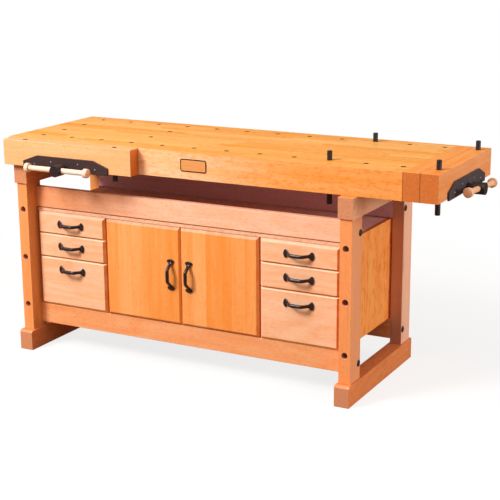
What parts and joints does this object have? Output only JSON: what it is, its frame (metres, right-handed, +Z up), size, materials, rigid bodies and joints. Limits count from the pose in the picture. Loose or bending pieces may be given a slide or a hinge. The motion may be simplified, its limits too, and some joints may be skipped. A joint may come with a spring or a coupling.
{
  "type": "woodworking bench",
  "caption": "Wooden workbench with a front vise and a tail vise, round dog holes with steel dogs, two trestles and a cabinet of drawers and doors under the top.",
  "frame": {"origin": "on the floor under the middle of the outer box", "axes": "+X along the bench towards the tail vise, +Y from the front to the back, +Z up"},
  "size_m": [1.9414, 0.73, 0.935],
  "materials": {
    "beech_top": "clear lacquered laminated beech",
    "beech_frame": "clear lacquered beech",
    "beech_case": "clear lacquered beech panel",
    "beech_front": "clear lacquered beech, grain level",
    "beech_door": "clear lacquered beech, grain upright",
    "beech_tray": "bare pale wood",
    "beech_handle": "turned and oiled beech",
    "black_iron": "black satin iron",
    "dark_plate": "dark grey textured paint",
    "hinge_steel": "plated steel"
  },
  "bodies": {
    "bench": {"bench_top": "beech_top", "end_cap": "beech_top", "left_front_post": "beech_frame", "left_back_post": "beech_frame", "left_beam": "beech_frame", "left_foot": "beech_frame", "right_front_post": "beech_frame", "right_back_post": "beech_frame", "right_beam": "beech_frame", "right_foot": "beech_frame", "front_upper_rail": "beech_frame", "front_lower_rail": "beech_frame", "back_upper_rail": "beech_frame", "back_lower_rail": "beech_frame", "case_left_side": "beech_case", "case_right_side": "beech_case", "case_left_partition": "beech_case", "case_right_partition": "beech_case", "case_bottom": "beech_case", "case_top": "beech_case", "case_back": "beech_case", "left_door_hinge": "hinge_steel", "right_door_hinge": "hinge_steel", "front_vise_housing": "black_iron", "tail_vise_housing": "black_iron"},
    "front_jaw": {"front_vise_jaw": "beech_top", "front_vise_guide_plate": "dark_plate"},
    "front_screw": {"front_vise_screw": "black_iron"},
    "front_handle": {"front_vise_handle": "beech_handle"},
    "tail_jaw": {"tail_vise_jaw": "beech_top", "tail_vise_guide_plate": "dark_plate"},
    "tail_screw": {"tail_vise_screw": "black_iron"},
    "tail_handle": {"tail_vise_handle": "beech_handle"},
    "left_top_drawer": {"left_top_drawer_front": "beech_front", "left_top_drawer_tray": "beech_tray", "left_top_drawer_pull": "black_iron"},
    "left_middle_drawer": {"left_middle_drawer_front": "beech_front", "left_middle_drawer_tray": "beech_tray", "left_middle_drawer_pull": "black_iron"},
    "left_bottom_drawer": {"left_bottom_drawer_front": "beech_front", "left_bottom_drawer_tray": "beech_tray", "left_bottom_drawer_pull": "black_iron"},
    "right_top_drawer": {"right_top_drawer_front": "beech_front", "right_top_drawer_tray": "beech_tray", "right_top_drawer_pull": "black_iron"},
    "right_middle_drawer": {"right_middle_drawer_front": "beech_front", "right_middle_drawer_tray": "beech_tray", "right_middle_drawer_pull": "black_iron"},
    "right_bottom_drawer": {"right_bottom_drawer_front": "beech_front", "right_bottom_drawer_tray": "beech_tray", "right_bottom_drawer_pull": "black_iron"},
    "left_door": {"left_door": "beech_door", "left_door_pull": "black_iron"},
    "right_door": {"right_door": "beech_door", "right_door_pull": "black_iron"},
    "front_row_dog": {"dog_front_row": "black_iron"},
    "back_row_dog": {"dog_back_row": "black_iron"},
    "tail_front_dog": {"dog_tail_front": "black_iron"},
    "tail_back_dog": {"dog_tail_back": "black_iron"},
    "front_jaw_dog": {"dog_front_jaw": "black_iron"}
  },
  "joints": [
    {"name": "front_jaw_slide", "type": "slide", "parent": "bench", "child": "front_jaw", "axis": [0, -1, 0], "range_m": [0, 0.162]},
    {"name": "front_screw_turn", "type": "hinge", "parent": "front_jaw", "child": "front_screw", "pos_m": [-0.6459, -0.34, 0.803], "axis": [0, -1, 0], "range_deg": [0, 9720]},
    {"name": "front_handle_slide", "type": "slide", "parent": "front_screw", "child": "front_handle", "axis": [1, 0, 0], "range_m": [-0.1015, 0.1135]},
    {"name": "tail_jaw_slide", "type": "slide", "parent": "bench", "child": "tail_jaw", "axis": [1, 0, 0], "range_m": [0, 0.162]},
    {"name": "tail_screw_turn", "type": "hinge", "parent": "tail_jaw", "child": "tail_screw", "pos_m": [0.94565, 0.068, 0.803], "axis": [1, 0, 0], "range_deg": [0, 9720]},
    {"name": "tail_handle_slide", "type": "slide", "parent": "tail_screw", "child": "tail_handle", "axis": [0, 0.9983, -0.0576], "range_m": [-0.1225, 0.0925]},
    {"name": "left_top_drawer_slide", "type": "slide", "parent": "bench", "child": "left_top_drawer", "axis": [0, -1, 0], "range_m": [0, 0.25]},
    {"name": "left_middle_drawer_slide", "type": "slide", "parent": "bench", "child": "left_middle_drawer", "axis": [0, -1, 0], "range_m": [0, 0.25]},
    {"name": "left_bottom_drawer_slide", "type": "slide", "parent": "bench", "child": "left_bottom_drawer", "axis": [0, -1, 0], "range_m": [0, 0.25]},
    {"name": "right_top_drawer_slide", "type": "slide", "parent": "bench", "child": "right_top_drawer", "axis": [0, -1, 0], "range_m": [0, 0.25]},
    {"name": "right_middle_drawer_slide", "type": "slide", "parent": "bench", "child": "right_middle_drawer", "axis": [0, -1, 0], "range_m": [0, 0.25]},
    {"name": "right_bottom_drawer_slide", "type": "slide", "parent": "bench", "child": "right_bottom_drawer", "axis": [0, -1, 0], "range_m": [0, 0.25]},
    {"name": "left_door_swing", "type": "hinge", "parent": "bench", "child": "left_door", "pos_m": [-0.52365, -0.203, 0.39025], "axis": [0, 0, -1], "range_deg": [0, 90]},
    {"name": "right_door_swing", "type": "hinge", "parent": "bench", "child": "right_door", "pos_m": [0.17435, -0.203, 0.39025], "axis": [0, 0, 1], "range_deg": [0, 90]},
    {"name": "front_row_dog_slide", "type": "slide", "parent": "bench", "child": "front_row_dog", "axis": [0, 0, 1], "range_m": [-0.035, 0.12]},
    {"name": "back_row_dog_slide", "type": "slide", "parent": "bench", "child": "back_row_dog", "axis": [0, 0, 1], "range_m": [-0.035, 0.12]},
    {"name": "tail_front_dog_slide", "type": "slide", "parent": "tail_jaw", "child": "tail_front_dog", "axis": [0, 0, 1], "range_m": [-0.035, 0.12]},
    {"name": "tail_back_dog_slide", "type": "slide", "parent": "tail_jaw", "child": "tail_back_dog", "axis": [0, 0, 1], "range_m": [-0.035, 0.12]},
    {"name": "front_jaw_dog_slide", "type": "slide", "parent": "front_jaw", "child": "front_jaw_dog", "axis": [0, 0, 1], "range_m": [-0.02, 0.09]}
  ],
  "couplings": [
    {"joint": "front_jaw_slide", "follows": "front_screw_turn", "m_per_rad": 0.00095493},
    {"joint": "tail_jaw_slide", "follows": "tail_screw_turn", "m_per_rad": 0.00095493}
  ]
}
